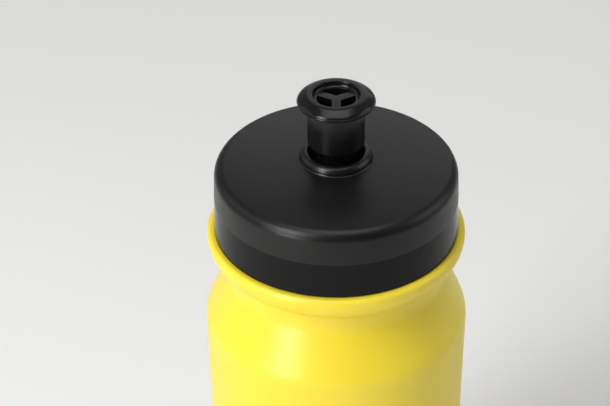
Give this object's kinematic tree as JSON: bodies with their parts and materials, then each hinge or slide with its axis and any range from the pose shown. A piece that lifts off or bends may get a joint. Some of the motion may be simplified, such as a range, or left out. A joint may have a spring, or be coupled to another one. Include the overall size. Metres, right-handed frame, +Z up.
{
  "type": "squeeze bottle",
  "caption": "Round squeeze bottle for a bicycle cage: soft waisted body with a rolled lip, crowned screw lid and a push-pull drinking nozzle with a three-armed grid.",
  "frame": {"origin": "centre of the base, on the surface that the bottle stands on", "axes": "+Z up along the bottle's axis, through the nozzle; one arm of the nozzle's grid points along -Y"},
  "size_m": [0.0734, 0.0734, 0.1905],
  "materials": {
    "yellow_polyethylene": "satin blow-moulded polyethylene, slightly translucent",
    "black_lid_plastic": "fine spark-eroded texture on top, smooth lower band",
    "soft_gasket": "plain soft elastomer",
    "black_valve_plastic": "smooth moulded",
    "black_nozzle_plastic": "smooth moulded, semi-gloss",
    "black_rubber": "plain O-ring rubber"
  },
  "bodies": {
    "bottle": {"squeeze_bottle": "yellow_polyethylene"},
    "gasket": {"lid_gasket": "soft_gasket"},
    "lid": {"screw_lid": "black_lid_plastic", "valve_stem": "black_valve_plastic"},
    "seal": {"nozzle_seal": "black_rubber"},
    "nozzle": {"nozzle": "black_nozzle_plastic"}
  },
  "joints": [
    {"name": "lid_lift", "type": "slide", "parent": "bottle", "child": "gasket", "axis": [0, 0, 1], "range_m": [0, 0.00675]},
    {"name": "lid_turn", "type": "hinge", "parent": "gasket", "child": "lid", "pos_m": [0, 0, 0.16], "axis": [0, 0, 1], "range_deg": [0, 540]},
    {"name": "nozzle_slide", "type": "slide", "parent": "lid", "child": "seal", "axis": [0, 0, 1], "range_m": [-0.006, 0]},
    {"name": "nozzle_swivel", "type": "hinge", "parent": "seal", "child": "nozzle", "pos_m": [0, 0, 0.18], "axis": [0, 0, 1], "continuous": true}
  ],
  "couplings": [
    {"joint": "lid_lift", "follows": "lid_turn", "m_per_rad": 0.0007162}
  ]
}
